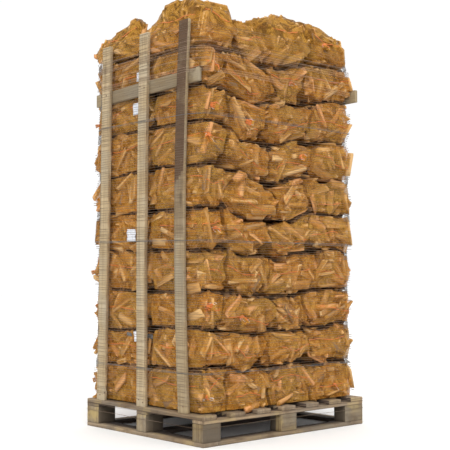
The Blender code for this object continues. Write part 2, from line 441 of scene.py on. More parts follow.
def stick_wood():
    """Split kindling: pale clean faces, torn grain, a few darker bark faces, and the mass behind
    them in painted shade.
    """
    finish = Finish("kindling_wood", 0.85, Specular_IOR_Level=0.2)
    tone = finish.attribute("tone")
    drift = tone * 23.0
    fine = finish.noise(finish.drawn_out(9.0, 260.0, drift), 1.0, 4.0)
    broad = finish.noise(finish.drawn_out(6.0, 55.0, drift), 1.0, 2.0)
    deep = finish.cloud(34.0, 3.0, 0.6, 1.4)
    # Painted shade for the mass behind the sticks: near black to dim brown.
    core_shade = finish.blend(finish.spread(deep, 0.42, 0.62), (0.046, 0.024, 0.014),
                       (0.230, 0.115, 0.045))
    colour = finish.blend(finish.spread(fine * 0.5 + broad * 0.5, 0.35, 0.65),
                          (0.40, 0.20, 0.060), (0.68, 0.395, 0.150))
    warm = finish.spread(tone, 0.55, 0.80) - finish.spread(tone, 0.80, 0.86)
    colour = finish.coats(
        finish.blend(warm * 0.60, colour, (0.72, 0.33, 0.145)),
        (tone, 0.93, 0.97, 0.8, (0.20, 0.12, 0.07)),
        # the mass behind the sticks, in painted shade
        (tone, 1.05, 1.15, 1.0, core_shade),
        (tone, 0.20, 0.05, 0.5, (0.72, 0.49, 0.24)))
    return finish.made(colour, fine * 0.7 + broad, 0.0012, 0.7)


def golden_net():
    """Knitted net: chains of stitches, zigzag laps between them, open holes, with painted
    highlights and shade on its folds and painted glints.
    """
    finish = Finish("golden_net", 0.70, Specular_IOR_Level=0.1)
    across, up = finish.surface()
    side = ((across * (1.0 / CHAIN_WIDE)).math("FRACT") - 0.5).math("ABSOLUTE")
    chain = finish.spread(side, 0.27, 0.35)
    lap_at = ((up * (1.0 / ROW_TALL) + side).math("FRACT") - 0.5).math("ABSOLUTE")
    threads = chain.math("MAXIMUM", finish.spread(lap_at, 0.22, 0.14))
    loose = finish.cloud(11.0, 3.0)
    fold = finish.cloud(38.0, 4.0, 0.65, 1.2)
    high = finish.spread(finish.parts(finish.place())[2], 2.04, 2.18)
    cover = threads * (finish.spread(loose, 0.36, 0.60) * 0.46 + 0.52)
    haze = finish.spread(fold, 0.48, 0.72) * 0.36 + 0.06 + high * 0.22
    finish.feed("Alpha", (cover + haze).math("MINIMUM", 1.0))
    hue = finish.cloud(5.5, 4.0, 0.6) + finish.attribute("tone") * 0.14
    fresh = finish.cloud(16.0, 3.0, 0.6, 1.5)
    rust = finish.cloud(9.0, 3.0, 0.6, 1.0)
    glint_and_speck = finish.cloud(130.0, 2.0, 0.6)
    streak = finish.noise(finish.vector(across * 16.0 + up * 9.0, up * 95.0 - across * 34.0,
                                        loose), 1.0, 3.0, 0.6, 0.8)
    olive = finish.blend(finish.spread(fresh, 0.42, 0.56), (0.100, 0.046, 0.008),
                         (0.47, 0.240, 0.034))
    colour = finish.coats(
        finish.blend(finish.spread(hue, 0.45, 0.73), (0.55, 0.205, 0.020),
                     (0.48, 0.245, 0.042)),
        (fresh, 0.57, 0.68, 0.80, (0.72, 0.38, 0.185)),
        (fresh, 0.42, 0.32, 0.55, (0.42, 0.22, 0.070)),
        (rust, 0.60, 0.70, 0.55, (0.66, 0.215, 0.040)),
        (streak, 0.52, 0.66, 0.40, (0.74, 0.42, 0.095)),
        # Painted highlight on the crests of the folds and painted shade in their hollows, by the
        # same pattern as the bump.
        (fold, 0.46, 0.62, 0.45, (0.70, 0.39, 0.085)),
        (fold, 0.46, 0.30, 0.60, (0.23, 0.092, 0.012)),
        # Painted glints, with fine dark specks among them.
        (glint_and_speck, 0.54, 0.66, 0.26, (0.78, 0.47, 0.13)),
        (glint_and_speck, 0.46, 0.34, 0.26, (0.17, 0.075, 0.020)))
    return finish.made(finish.blend(high * 0.72, colour, olive),
                       threads * 0.15 + fold * 2.0, 0.0040, 0.7)


def cord_finish():
    finish = Finish("orange_drawstring", 0.55)
    along, around = finish.surface()
    twist = (along * 260.0 + around * 3.0).math("FRACT")
    strand = finish.spread((twist - 0.5).math("ABSOLUTE"), 0.05, 0.40)
    # The grooves between the twisted strands are painted darker, as shade, by the same pattern
    # as the bump.
    return finish.made(finish.blend(strand, (0.52, 0.13, 0.026), (0.80, 0.25, 0.060)),
                       strand, 0.0006, 0.8)


def mottled(name, rough, shape, limits, paints, raised=None, marks=(), **constants):
    """A plain finish that wanders between two paints, with marks where a tone says."""
    finish = Finish(name, rough, **constants)
    cloud = finish.cloud(*shape)
    colour = finish.blend(finish.spread(cloud, *limits), *paints)
    for low, high, paint in marks:
        colour = finish.coats(colour, (finish.attribute("tone"), low, high, 1.0, paint))
    return finish.made(colour, *((cloud, *raised) if raised else ()))


def wrap_finish():
    # The clear threads are painted dark brown, as the shadow lines they cast on the stakes; the
    # veil and notch threads keep paler colours of their own.
    return mottled("clear_wrap_thread_shadow_dark", 0.45, (14.0, 3.0), (0.35, 0.65),
                   ((0.17, 0.115, 0.070), (0.23, 0.165, 0.115)),
                   marks=((1.05, 1.15, (0.46, 0.33, 0.24)), (1.25, 1.28, (0.225, 0.205, 0.190))),
                   Specular_IOR_Level=0.3)


def band_finish():
    return mottled("gathered_wrap", 0.40, (60.0, 4.0), (0.35, 0.65),
                   ((0.070, 0.078, 0.085), (0.135, 0.140, 0.145)), (0.001, 0.8))


def tag_finish():
    return mottled("blank_label", 0.5, (70.0, 3.0), (0.35, 0.7),
                   ((0.66, 0.69, 0.76), (0.88, 0.89, 0.92)), (0.0012, 0.7))


def nail_finish():
    return mottled("rusted_nail", 0.6, (300.0, 3.0), (0.4, 0.6),
                   ((0.10, 0.08, 0.07), (0.28, 0.17, 0.10)), Metallic=0.7)


def select_only(piece):
    bpy.ops.object.select_all(action="DESELECT")
    piece.select_set(True)
    bpy.context.view_layer.objects.active = piece


def add_object(name, data):
    piece = bpy.data.objects.new(name, data)
    bpy.context.scene.collection.objects.link(piece)
    return piece


def start_from(operator, **shape):
    """A new primitive, with nothing else selected."""
    bpy.ops.object.select_all(action="DESELECT")
    operator(**shape)
    return bpy.context.object


def set_mode(mode):
    bpy.ops.object.mode_set(mode=mode)


def select_mesh():
    bpy.ops.mesh.select_all(action="SELECT")


def cut_mesh(place, normal, **choices):
    """Cuts the whole of the piece in edit mode by a plane."""
    select_mesh()
    bpy.ops.mesh.bisect(plane_co=place, plane_no=normal, **choices)


def apply_modifiers(piece):
    select_only(piece)
    for modifier in list(piece.modifiers):
        bpy.ops.object.modifier_apply(modifier=modifier.name)


def mesh_arrays(piece):
    """Corners' places and triangles of a piece."""
    mesh = piece.data
    mesh.calc_loop_triangles()
    places = np.empty(len(mesh.vertices) * 3, np.float32)
    mesh.vertices.foreach_get("co", places)
    triangles = np.empty(len(mesh.loop_triangles) * 3, np.int32)
    mesh.loop_triangles.foreach_get("vertices", triangles)
    return places.reshape(-1, 3), triangles.reshape(-1, 3)


def take_mesh(piece):
    """A pattern's places and triangles. The pattern itself is cleared away."""
    arrays = mesh_arrays(piece)
    bpy.data.objects.remove(piece, do_unlink=True)
    return arrays


def mark_faces(mesh, name, values):
    """Gives each face a number of its own, for its finish to read."""
    marks = mesh.attributes.new(name, "FLOAT", "FACE")
    marks.data.foreach_set("value", np.asarray(values, np.float32))


class Pile:
    """Shapes gathered into one joined mesh, with a flat map and a tone each."""

    def __init__(self):
        self.places = []
        self.faces = []
        self.maps = []
        self.tones = []
        self.count = 0

    def add(self, places, faces, corner_maps, tone):
        self.places.append(places)
        self.faces.append(np.asarray(faces) + self.count)
        self.maps.append(corner_maps.reshape(-1, 2))
        self.tones.append(np.full(len(faces), tone, np.float32))
        self.count += len(places)

    def make(self, name, material, slot, smooth=None, nodes=()):
        mesh = bpy.data.meshes.new(name)
        places = np.concatenate(self.places).astype(np.float32)
        corners = np.concatenate([block.ravel() for block in self.faces]).astype(np.int32)
        sides = np.concatenate([np.full(len(block), block.shape[1]) for block in self.faces])
        starts = np.concatenate([[0], np.cumsum(sides)[:-1]]).astype(np.int32)
        mesh.vertices.add(len(places))
        mesh.vertices.foreach_set("co", places.ravel())
        mesh.loops.add(len(corners))
        mesh.loops.foreach_set("vertex_index", corners)
        mesh.polygons.add(len(starts))
        mesh.polygons.foreach_set("loop_start", starts)
        mesh.update(calc_edges=True)
        layer = mesh.uv_layers.new(name="cloth")
        layer.uv.foreach_set("vector", np.concatenate(self.maps).astype(np.float32).ravel())
        mark_faces(mesh, "tone", np.concatenate(self.tones))
        return settle(add_object(name, mesh), material, smooth, nodes)


def settle(piece, material, smooth=None, nodes=()):
    """Gives a finished piece its material, shading and the nodes it stands for."""
    piece.data.materials.clear()
    piece.data.materials.append(material)
    if smooth is not None:
        select_only(piece)
        bpy.ops.object.shade_smooth_by_angle(angle=math.radians(smooth))
    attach(piece, "root")
    if nodes:
        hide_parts(*nodes)
    return piece


def face_turns(corners):
    """Each face's normal, as long as twice its area."""
    return np.cross(corners[:, 1] - corners[:, 0], corners[:, 2] - corners[:, 0])


def face_normals(corners):
    turns = face_turns(corners)
    return turns / (np.linalg.norm(turns, axis=1)[:, None] + 1e-9)


def main_axis(corners):
    """The axis that each face looks along most."""
    return np.abs(face_turns(corners)).argmax(axis=1)


def pick_axis(corners, axes):
    """One number of each corner: the one on its face's chosen axis."""
    return np.take_along_axis(corners, axes[:, None, None], 2)[:, :, 0]


def box_map(corners, low, axis):
    """Maps each face by its place along the grain and across it, in metres."""
    main = main_axis(corners)
    sides = [other for other in range(3) if other != axis]
    across = np.where(main == sides[0], sides[1], sides[0])
    around = pick_axis(corners, across) - low[across][:, None] + main[:, None] * 0.37
    along = corners[:, :, axis] - low[axis]
    end_grain = along * 0.02 + corners[:, :, sides[1]] * 0.3
    return np.stack([np.where((main == axis)[:, None], end_grain, along), around], axis=2)


def worn_board(node, finish, tone, cuts, stain_and_shade, wear=BOARD_WEAR):
    """A board of the frame with its flat faces cut finer, then worn and dented."""
    piece = add_object(node + "_wood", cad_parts[node].data.copy())
    select_only(piece)
    low, high = (np.array(corner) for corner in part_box(node))
    size = high - low
    axis = int(size.argmax())
    set_mode("EDIT")
    select_mesh()
    bpy.ops.mesh.remove_doubles(threshold=BOARD_MERGE)
    bpy.ops.mesh.dissolve_limited(angle_limit=math.radians(BOARD_FLAT))
    for other in range(3):
        count = max(1, round(size[other] / cuts[0 if other == axis else 1]))
        for k in range(1, count):
            place = low.copy()
            place[other] += size[other] * k / count
            cut_mesh(place.tolist(), np.eye(3)[other].tolist())
    select_mesh()
    bpy.ops.mesh.quads_convert_to_tris()
    set_mode("OBJECT")
    for name, size_of, share in DENTS:
        texture = bpy.data.textures.new(name, "CLOUDS")
        texture.noise_scale = size_of
        dents = piece.modifiers.new(name, "DISPLACE")
        dents.texture = texture
        dents.texture_coords = "LOCAL"
        dents.strength = wear * share
    apply_modifiers(piece)
    places, faces = mesh_arrays(piece)
    corners = places[faces]
    layer = piece.data.uv_layers.new(name="cloth")
    layer.uv.foreach_set("vector", box_map(corners, low, axis).astype(np.float32).ravel())
    mark_faces(piece.data, "tone", np.full(len(faces), tone))
    mark_faces(piece.data, "stain_and_shade", stain_and_shade(corners))
    settle(piece, finish, 35.0, (node,))


def near_bark(corners):
    """Stain on the near stake's outer face: dark above a slanting edge, brown below."""
    middle = corners.mean(axis=1)
    back = middle[:, 1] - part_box("stake_left_front")[0][1]
    dark = fade(middle[:, 2] - BARK_DARK + back * BARK_SLANT, 0.03)
    brown = fade(middle[:, 2] - BARK_BROWN, 0.02)
    return np.maximum(dark, brown * 0.42) * (face_normals(corners)[:, 0] < -0.6)


def no_stain(corners):
    return np.zeros(len(corners))


def inner_shade_and_dirt(corners):
    """Painted shade, with dirt and damp, on the faces that look into the pallet and under its
    deck, and a little dirt on the rest, its deck too.
    """
    middle = corners.mean(axis=1)
    normals = face_normals(corners)
    inward = (normals * middle)[:, :2].sum(axis=1) < -0.02
    under = (normals[:, 2] < -0.6) | (
        (np.abs(middle[:, 0]) < 0.56) & (np.abs(middle[:, 1]) < 0.46))
    # Faces that look into the pallet or lie under its deck get the most: painted shade mixed
    # with dirt.
    return np.where(inward | (under & (middle[:, 2] < DECK_TOP - 0.01)), 1.3, 0.30)


def side_shade_and_dirt(corners):
    """Painted shade mixed with dirt on the pallet's long sides, most of it on the near corner's
    block.
    """
    near = (corners[:, :, 0].mean(axis=1) < -0.4) & (corners[:, :, 1].mean(axis=1) < 0.0)
    outer = (np.abs(face_normals(corners)[:, 1]) > 0.6) * np.where(near, 0.85, 0.42)
    # Inside the pallet, the boards' deeper painted shade and dirt is kept.
    shade_and_dirt = inner_shade_and_dirt(corners)
    return np.where(shade_and_dirt > 1.0, shade_and_dirt, outer)


def dress_pallet(draw):
    board = grained_wood("weathered_board")
    block = grained_wood("pallet_block")
    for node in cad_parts:
        if node.startswith("block_"):
            worn_board(node, block, draw.random(), BLOCK_CUTS, side_shade_and_dirt)
        elif node.startswith(("deck_", "stringer_", "base_")):
            tone = draw.random() + 0.35 * (node == "deck_board_1")
            worn_board(node, board, tone, BOARD_CUTS, inner_shade_and_dirt)


def dress_uprights(draw):
    pale = grained_wood("pale_stake")
    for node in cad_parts:
        if node.startswith(("stake_", "rail_")):
            barked = node == "stake_left_front"
            tone = STAKE_TONES.get(node, draw.random() * 0.5)
            worn_board(node, pale, tone, BARK_CUTS if barked else STAKE_CUTS,
                       near_bark if barked else no_stain, STAKE_WEAR)


def drive_nails(draw):
    """Nail heads: down into the boards over each block, and through the stakes."""
    places, faces = take_mesh(start_from(bpy.ops.mesh.primitive_cylinder_add, vertices=10,
                                         radius=NAIL_RADIUS, depth=NAIL_HEAD))
    sideways = places[:, [2, 1, 0]] * np.array([1.0, -1.0, 1.0])
    flat = np.zeros((len(faces), 3, 2))
    nails = Pile()
    lines = ("front", "middle", "back")
    for column, row, across, along in product(("left", "middle", "right"), lines,
                                              (0.25, 0.72), (0.30, 0.70)):
        low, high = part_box("block_" + column + "_" + row)
        across += draw.uniform(-NAIL_STRAY, NAIL_STRAY)
        along += draw.uniform(-NAIL_STRAY, NAIL_STRAY)
        spot = (low[0] + (high[0] - low[0]) * across, low[1] + (high[1] - low[1]) * along,
                DECK_TOP)
        nails.add(places + spot, faces, flat, draw.random())
    for (side, outer), row in product((("left", 0), ("right", 1)), lines):
        rail_low, rail_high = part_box("rail_" + side)
        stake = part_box("stake_" + side + "_" + row)
        low, high = stake
        for rise, across in product(((rail_low[2] + rail_high[2]) / 2, low[2] + STAKE_FOOT),
                                    (0.3, 0.7)):
            spot = (stake[outer][0], low[1] + (high[1] - low[1]) * across,
                    rise + draw.uniform(-0.012, 0.012))
            nails.add(sideways + spot, faces, flat, draw.random())
    nails.make("nail_heads", nail_finish(), "nail", 40.0)


def stick_shapes():
    """Split sticks, each modelled once in a box one unit a side, long side on X."""
    draw = random.Random(SEED)
    shapes = []
    for _ in range(STICK_KINDS):
        piece = start_from(bpy.ops.mesh.primitive_cylinder_add,
                           vertices=draw.choice((4, 5, 5, 6)), radius=0.62, depth=1.0,
                           rotation=(0.0, math.pi / 2, 0.0))
        bpy.ops.object.transform_apply(location=False, rotation=True, scale=True)
        set_mode("EDIT")
        turn = draw.uniform(0.0, math.tau)
        facing = (0.0, math.cos(turn), math.sin(turn))
        flank = tuple(part * draw.uniform(0.18, 0.34) for part in facing)
        splits = [(flank, (draw.uniform(-0.1, 0.1), facing[1], facing[2]))]
        for end in (1.0, -1.0):
            slope = (end, draw.uniform(-0.3, 0.3), draw.uniform(-0.3, 0.3))
            splits.append(((0.47 * end, 0.0, 0.0), slope))
        for place, normal in splits:
            cut_mesh(place, normal, use_fill=True, clear_outer=True)
        cut_mesh((draw.uniform(-0.1, 0.1), 0.0, 0.0), (1.0, 0.2, 0.1))
        select_mesh()
        bpy.ops.mesh.normals_make_consistent(inside=False)
        set_mode("OBJECT")
        places, faces = take_mesh(piece)
        bend = draw.uniform(-0.12, 0.12)
        places[:, 2] += bend * (1.0 - (2.0 * places[:, 0]) ** 2)
        places[:, 1] *= 1.0 + draw.uniform(-0.22, 0.22) * places[:, 0]
        shapes.append((places, faces))
    return shapes


def cube_grid(cuts):
    """A cube cut into a grid, for skins and cores: places, faces, neighbours, faces' axes."""
    piece = start_from(bpy.ops.mesh.primitive_cube_add, size=2.0)
    set_mode("EDIT")
    select_mesh()
    bpy.ops.mesh.subdivide(number_cuts=cuts)
    set_mode("OBJECT")
    mesh = piece.data
    places = np.round([tuple(vertex.co) for vertex in mesh.vertices], 5)
    faces = np.array([tuple(face.vertices) for face in mesh.polygons])
    near = [[] for _ in places]
    for edge in mesh.edges:
        first, second = edge.vertices
        near[first].append(second)
        near[second].append(first)
    near = np.array([(links + links[:1])[:4] for links in near])
    facing = np.abs([tuple(face.normal) for face in mesh.polygons]).argmax(axis=1)
    bpy.data.objects.remove(piece, do_unlink=True)
    return places, faces, near, facing


def fade(values, over=1.0):
    """Values run from 0 to 1 over a distance, and stopped there."""
    return np.clip(values / over, 0.0, 1.0)


def slump(places):
    """Leans and waves that the layers took as they settled, the same for all they hold."""
    x, y, z = places[:, 0], places[:, 1], places[:, 2]
    free = fade(z - DECK_TOP - FREE_ABOVE[0], FREE_ABOVE[1]) * fade(FREE_BELOW[0] - z,
                                                                    FREE_BELOW[1])
    rise = np.zeros(len(places))
    lean = np.zeros(len(places))
    sway, lift, shift = LEAN_TURNS
    for size, along, up, back, start in SLUMP_WAVES:
        rise += size * np.sin(along * x + up * z + back * y + start)
        lean += size * LEAN * np.sin(up * sway * x + along * lift * z - back * y + start * shift)
    ends = fade(FREE_INSIDE[0] - np.abs(x), FREE_INSIDE[1])
    sag = np.interp(x, SAG_ALONG, (0.0, 1.0, 1.0, 0.0)) * np.interp(z, SAG_UP, SAG_DEPTH)
    settled = np.column_stack([x + lean * free * ends, y, z + rise * free - sag])
    for centre, pull, size in PULLS:
        near = np.exp(-((settled - centre) ** 2).sum(axis=1) / size ** 2)
        settled = settled + near[:, None] * np.array(pull)
    return settled


def clamp(value, low=0.0):
    """One value, kept between a low limit and 1."""
    return min(1.0, max(low, value))


class Bag:
    """The room that one net bag has, inside its row's solid. out is the way that its row
    looks along Y, and end is -1 or 1 where the bag ends its row along X, or else 0."""

    def __init__(self, tree, low, high, row, index, layer):
        self.tree = tree
        self.out = -1.0 if row == "front" else 1.0
        self.end = {0: -1.0, BAGS_IN_ROW - 1: 1.0}.get(index, 0.0)
        self.lowest = layer == 0
        self.top = layer == LAYERS - 1
        x, y, z = ((low[k] + high[k]) / 2 for k in range(3))
        floor, roof = (tree.ray_cast(Vector((x, y, z)), Vector((0.0, 0.0, way)))[0].z
                       for way in (-1.0, 1.0))
        self.half = np.array([(high[0] - low[0]) / 2, (high[1] - low[1]) / 2,
                              (roof - floor) / 2])
        self.middle = Vector((x, y, (floor + roof) / 2))

    def meets_next(self, x):
        """Whether the next bag lies on this side along X."""
        return x != 0.0 and x * self.end <= 0.0

    def room(self, ray):
        """How far the bag reaches along a ray to its box: 1 is the box itself."""
        _, normal, _, reach = self.tree.ray_cast(self.middle, ray)
        share = reach / ray.length if reach else 1.0
        if share < 1.0:
            high = ray.z / self.half[2]
            dome = clamp(CROWN_START - high) if self.top else 1.0
            if self.meets_next(ray.x):
                dome = max(dome, (abs(ray.x) / self.half[0] - SIDE_RISE[0]) * SIDE_RISE[1])
            pocket = noise.noise((self.middle + ray) * POCKET_TURNS)
            fill = NET_FILL * clamp(POCKET_FILL + pocket * POCKET_DEPTH)
            fill *= clamp(1.0 + high, UNDER_FILL)
            if self.end:
                outer = max(0.0, ray.x * self.end) / self.half[0]
                fill += (END_FILL - fill) * clamp(outer * END_RISE[0] - END_RISE[1])
            seam = clamp((SEAM_BAND[0] - abs(high - BULGE)) / SEAM_BAND[1])
            fill += (SEAM_FILL - fill) * seam
            if self.lowest and high < 0.0:
                fill = max(fill, FLOOR_FILL)
            share += (1.0 - share) * fill * dome
        return share, normal

    def shell(self, ray):
        """The same reach, stopped where the next bag begins."""
        reach, _ = self.room(ray)
        side = ray.x / self.half[0]
        return min(reach, SIDE_STOP / abs(side)) if self.meets_next(side) else reach

    def surface(self, spot):
        """Where a spot of the unit cube lies on the bag, and the normal there."""
        ray = Vector(spot * self.half)
        share, normal = self.room(ray)
        return self.middle + ray * share, normal

    def inside(self, place):
        """How far out a place is: 1 on the bag's surface."""
        away = place - self.middle
        box = max(abs(part) / half for part, half in zip(away, self.half))
        if box < 0.05:
            return 0.0
        share = box / self.room(away / box)[0]
        sides = abs(away.x) / self.half[0]
        return max(share, sides / 1.01) if self.meets_next(away.x) else share

    def faces_seen(self):
        """Faces of the unit cube that show, as (axis, sign, share of it, area)."""
        wide, deep, tall = self.half * 2
        seen = [(1, self.out, 1.0, wide * tall)]
        if self.end:
            seen.append((0, self.end, 1.0, deep * tall * END_WEIGHT))
        if self.top:
            seen.append((2, 1.0, 1.0, wide * deep * TOP_WEIGHT))
            seen.append((1, -self.out, 1.0, wide * tall * TOP_BACK_WEIGHT))
        else:
            seen.append((2, 1.0, HEM_SHARE, wide * deep * HEM_SHARE))
        seen.append((2, -1.0, HEM_SHARE, wide * deep * HEM_SHARE))
        if self.end and not self.top:
            seen.append((2, 1.0, 1.0, wide * deep * END_TOP_WEIGHT))
        return seen


def row_bags(node, row, layer):
    """The four bags of a row: the row's solid is pinched where one ends."""
    places, faces = mesh_arrays(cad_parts[node])
    tree = BVHTree.FromPolygons(places.tolist(), faces.tolist())
    spots = np.unique(np.round(places, 5), axis=0)
    across, counts = np.unique(np.round(spots[:, 0], 4), return_counts=True)
    low, high = spots.min(axis=0), spots.max(axis=0)
    pinched = [ring for ring in across[counts >= RING_POINTS]
               if low[0] + PINCH_INSET < ring < high[0] - PINCH_INSET]
    ends = [low[0], *pinched, high[0]]
    if len(ends) != BAGS_IN_ROW + 1:
        raise RuntimeError(node + " isn't pinched in three places: " + str(ends))
    return [Bag(tree, (left, low[1], low[2]), (right, high[1], high[2]), row, index, layer)
            for index, (left, right) in enumerate(zip(ends[:-1], ends[1:]))]


def stick_spot(bag, draw):
    """A random spot of the unit cube on a face of the bag that shows."""
    if bag.end and draw.random() < UPRIGHT_SHARE:
        side = draw.choice((-1.0, 1.0))
        spot = (bag.end * draw.uniform(0.84, 1.0), side, draw.uniform(-0.35, 0.35))
        return np.array(spot), True
    seen = bag.faces_seen()
    axis, sign, share, _ = draw.choices(seen, [face[3] for face in seen])[0]
    spot = np.array([draw.uniform(-0.95, 0.95) for _ in range(3)])
    if share < 1.0:
        spot[1] = bag.out * (1.0 - draw.random() * share * 2.0)
    spot[axis] = sign
    return spot, False


def lay_sticks(bag, draw, shapes):
    """Sticks under the net: an outer layer that lies along it, and more behind."""
    wanted = round(sum(face[3] for face in bag.faces_seen()) * STICKS_A_METRE)
    laid = []
    taken = np.empty((0, 5, 3))
    widths = np.empty(0)
    for _ in range(wanted * STICK_TRIES):
        if len(laid) >= wanted:
            break
        inner = len(laid) > wanted * (1.0 - INNER_SHARE)
        spot, upright = stick_spot(bag, draw)
        place, normal = bag.surface(spot)
        aside = place.x - bag.middle.x
        if bag.meets_next(aside) and abs(aside) > bag.half[0] * 0.98:
            continue
        long = draw.triangular(*STICK_LONG)
        wide = draw.uniform(*STICK_WIDE)
        thick = draw.uniform(*STICK_THICK)
        level = Vector((0.0, 0.0, 1.0)).cross(normal)
        level = level.normalized() if level.length > 0.2 else Vector((1.0, 0.0, 0.0))
        rise = normal.cross(level).normalized()
        turn = draw.gauss(math.pi / 2, UPRIGHT_LEAN) if upright else draw.uniform(0.0, math.pi)
        line = level * math.cos(turn) + rise * math.sin(turn)
        line = (line + normal * draw.uniform(-STICK_TILT, STICK_TILT)).normalized()
        depth = thick / 2 + draw.uniform(*STICK_DEPTH) + (INNER_DEPTH if inner else 0.0)
        past = END_PAST
        if bag.top and place.z > bag.middle.z:
            depth += TOP_DEEPER
            past = 1.0
        centre = place - normal * depth
        half = line * (long / 2)
        for _ in range(STICK_SLIDES):
            first, second = bag.inside(centre + half), bag.inside(centre - half)
            if max(first, second) < past:
                break
            slide = int(second > past) - int(first > past)
            centre = centre + line * (slide * STICK_STEP) - normal * STICK_STEP
        else:
            continue
        samples = np.array([centre + half * share for share in (-0.9, -0.45, 0.0, 0.45, 0.9)])
        width = (wide + thick) / 2
        if laid and not inner:
            gaps = np.linalg.norm(taken[:, :, None, :] - samples[None, None, :, :], axis=3)
            if (gaps.min(axis=(1, 2)) - (widths + width) * STICK_ROOM).min() < 0.0:
                continue
        taken = np.concatenate([taken, samples[None]])
        widths = np.append(widths, width)
        roll = draw.uniform(-STICK_ROLL, STICK_ROLL)
        flat = line.cross(normal).normalized()
        up = flat.cross(line).normalized()
        side = flat * math.cos(roll) + up * math.sin(roll)
        top = up * math.cos(roll) - flat * math.sin(roll)
        axes = np.array([line * long, side * wide, top * thick])
        laid.append((draw.choice(shapes), axes, np.array(centre), draw.random()))
    return laid


def stick_map(places, faces, size):
    """Grain runs along each stick; the ends show their cut face."""
    corners = (places * size)[faces]
    main = main_axis(corners)
    x, y, z = np.moveaxis(corners, 2, 0)
    around = np.where((main == 1)[:, None], z, y) + main[:, None] * 0.11
    return np.stack([np.where((main == 0)[:, None], z * 0.2, x), around], axis=2)


def build_sticks(laid, pile):
    """Adds a bag's sticks to the row's pile and returns a tree of them."""
    bag_places = []
    bag_faces = []
    count = 0
    for (places, faces), axes, centre, tone in laid:
        size = np.linalg.norm(axes, axis=1)
        hold = axes[0] * STICK_HOLD
        ends = slump(np.array([centre - hold, centre + hold]))
        turned = np.array([(ends[1] - ends[0]) / (STICK_HOLD * 2), axes[1], axes[2]])
        pile.add(places @ turned + ends.mean(axis=0), faces,
                 stick_map(places, faces, size), tone)
        bag_places.append(places @ axes + centre)
        bag_faces.append(faces + count)
        count += len(places)
    return BVHTree.FromPolygons(np.concatenate(bag_places).tolist(),
                                np.concatenate(bag_faces).tolist())


def fill_core(bag, grid, pile):
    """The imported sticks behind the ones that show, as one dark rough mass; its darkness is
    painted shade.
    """
    unit, faces, _, _ = grid
    places = []
    for spot in unit:
        ray = Vector(spot * bag.half)
        lump = noise.noise(Vector(spot) * CORE_TURNS + bag.middle * CORE_DRIFT)
        share = CORE_SHARE + lump * CORE_LUMP
        if bag.top:
            share -= TOP_CORE - TOP_LIFT * max(0.0, spot[2])
        elif abs(spot[0]) > 0.7:
            share += END_CORE
        places.append(bag.middle + ray * (bag.shell(ray) * share))
    places = np.array(places)
    rise = places[:, 2] - bag.middle.z
    stretch = np.where((rise > 0) & bag.top, 1.0, CORE_RISE)
    places[:, 2] = np.maximum(bag.middle.z + rise * stretch, DECK_TOP + 0.003)
    room = bag.half[0] * CORE_ROOM
    places[:, 0] = np.clip(places[:, 0], bag.middle.x - room, bag.middle.x + room)
    pile.add(slump(places), faces, places[faces][:, :, [0, 2]], CORE_SHADE_TONE)


def draw_net(bag, tree, grid):
    """Pulls a net tight over a bag's sticks, from the grid of a cube."""
    unit, _, near, _ = grid
    rays = unit * bag.half
    lengths = np.linalg.norm(rays, axis=1)
    base = np.empty(len(rays))
    hold = np.empty(len(rays))
    for index, ray in enumerate(rays):
        direction = Vector(ray)
        shell = bag.shell(direction)
        base[index] = shell * NET_BASE
        start = bag.middle + direction * (shell * NET_START)
        _, _, _, gap = tree.ray_cast(start, -direction, lengths[index] * shell * NET_LOOK)
        hold[index] = shell * NET_START - gap / lengths[index] if gap is not None else 0.0
    hold = hold + NET_CLEAR / lengths
    sag = np.array([noise.noise(Vector(ray) * NET_LUMP + bag.middle * NET_DRIFT)
                    for ray in rays])
    seam = np.abs(unit[:, 2]) ** 5
    hold_share = NET_HOLD - TOP_SAG * bag.top
    floor = base * (hold_share - NET_SAG * fade(sag + 0.15) * (1.0 - seam))
    hold = np.clip(hold, floor, base * NET_REACH)
    reach = np.maximum(base * NET_FIRST, hold)
    squared = (rays ** 2).sum(axis=1)
    for _ in range(NET_ROUNDS):
        places = rays * reach[:, None]
        pulled = (places[near].mean(axis=1) * rays).sum(axis=1) / squared * (1.0 - NET_PULL)
        reach = np.maximum(hold, reach + NET_CREEP * (pulled - reach))
    return slump(np.array(bag.middle) + rays * reach[:, None])


def net_map(unit, half, faces, facing, shift):
    """The net's own map in metres, flat on each side of the bag."""
    corners = (unit * half)[faces]
    across = pick_axis(corners, np.where(facing == 0, 1, 0))
    up = pick_axis(corners, np.where(facing == 2, 1, 2))
    return np.stack([across, up], axis=2) + shift


